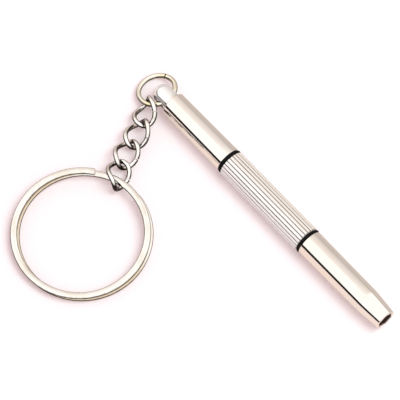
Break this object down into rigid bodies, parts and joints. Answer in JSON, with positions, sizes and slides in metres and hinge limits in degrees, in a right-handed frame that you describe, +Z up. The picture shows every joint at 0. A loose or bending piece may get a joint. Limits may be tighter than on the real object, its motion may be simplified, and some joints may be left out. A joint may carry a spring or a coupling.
{
  "type": "keychain screwdriver",
  "caption": "Slim nickel-plated keychain screwdriver: fluted grip with hidden bits under two screw caps, hexagon socket tip, jump ring, curb chain and split ring.",
  "frame": {"origin": "middle of the whole object's box, on the table it lies on", "axes": "+X along the screwdriver towards the hexagon tip, +Y from the split ring towards the screwdriver, +Z up from the table"},
  "size_m": [0.0742, 0.0522, 0.006],
  "materials": {
    "polished_nickel": "bright polished nickel plate, warm in its reflections",
    "grip_nickel": "nickel plate over pressed straight flutes, darker in the grooves",
    "jump_ring_nickel": "nickel-plated wire, slightly yellowed",
    "chain_nickel": "bright nickel-plated wire",
    "split_ring_nickel": "nickel-plated flat spring wire",
    "tool_steel": "hardened steel, lightly ground",
    "black_rubber": "matt black rubber"
  },
  "bodies": {
    "ring_cap": {"ring_cap": "polished_nickel"},
    "ring_cap_seal": {"ring_cap_seal": "black_rubber"},
    "grip": {"grip": "grip_nickel", "slotted_bit": "tool_steel", "cross_bit": "tool_steel"},
    "driver_cap_seal": {"driver_cap_seal": "black_rubber"},
    "driver_cap": {"driver_cap": "polished_nickel"},
    "jump_ring": {"jump_ring": "jump_ring_nickel"},
    "chain_link_1": {"chain_link_1": "chain_nickel"},
    "chain_link_2": {"chain_link_2": "chain_nickel"},
    "chain_link_3": {"chain_link_3": "chain_nickel"},
    "chain_link_4": {"chain_link_4": "chain_nickel"},
    "split_ring": {"split_ring": "split_ring_nickel"}
  },
  "joints": [
    {"name": "ring_cap_pull", "type": "slide", "parent": "ring_cap", "child": "ring_cap_seal", "axis": [1, 0, 0], "range_m": [0, 0.02]},
    {"name": "ring_cap_turn", "type": "hinge", "parent": "ring_cap_seal", "child": "grip", "pos_m": [-0.00949, 0.02162, 0.003], "axis": [1, 0, 0], "range_deg": [0, 1944]},
    {"name": "driver_cap_turn", "type": "hinge", "parent": "grip", "child": "driver_cap_seal", "pos_m": [0.01441, 0.02162, 0.003], "axis": [1, 0, 0], "range_deg": [0, 1944]},
    {"name": "driver_cap_pull", "type": "slide", "parent": "driver_cap_seal", "child": "driver_cap", "axis": [1, 0, 0], "range_m": [0, 0.02]},
    {"name": "jump_ring_swing", "type": "hinge", "parent": "ring_cap", "child": "jump_ring", "pos_m": [-0.02939, 0.02162, 0.003], "axis": [0, 1, 0], "range_deg": [-60, 90]},
    {"name": "chain_link_1_swing", "type": "hinge", "parent": "jump_ring", "child": "chain_link_1", "pos_m": [-0.03155, 0.01791, 0.00227], "axis": [0.8903, 0.3416, 0.3012], "range_deg": [-15, 30]},
    {"name": "chain_link_2_swing", "type": "hinge", "parent": "chain_link_1", "child": "chain_link_2", "pos_m": [-0.02855, 0.01378, 0.00219], "axis": [0.7666, 0.5629, -0.309], "range_deg": [-25, 25]},
    {"name": "chain_link_3_swing", "type": "hinge", "parent": "chain_link_2", "child": "chain_link_3", "pos_m": [-0.0268, 0.00896, 0.00173], "axis": [0.7216, 0.3213, -0.6132], "range_deg": [-20, 35]},
    {"name": "chain_link_4_swing", "type": "hinge", "parent": "chain_link_3", "child": "chain_link_4", "pos_m": [-0.02471, 0.00426, 0.00191], "axis": [0.4964, 0.1879, -0.8475], "range_deg": [-20, 35]},
    {"name": "split_ring_swing", "type": "hinge", "parent": "chain_link_4", "child": "split_ring", "pos_m": [-0.02155, 0.00022, 0.00238], "axis": [0.2182, 0.0584, -0.9742], "range_deg": [-20, 12]}
  ]
}
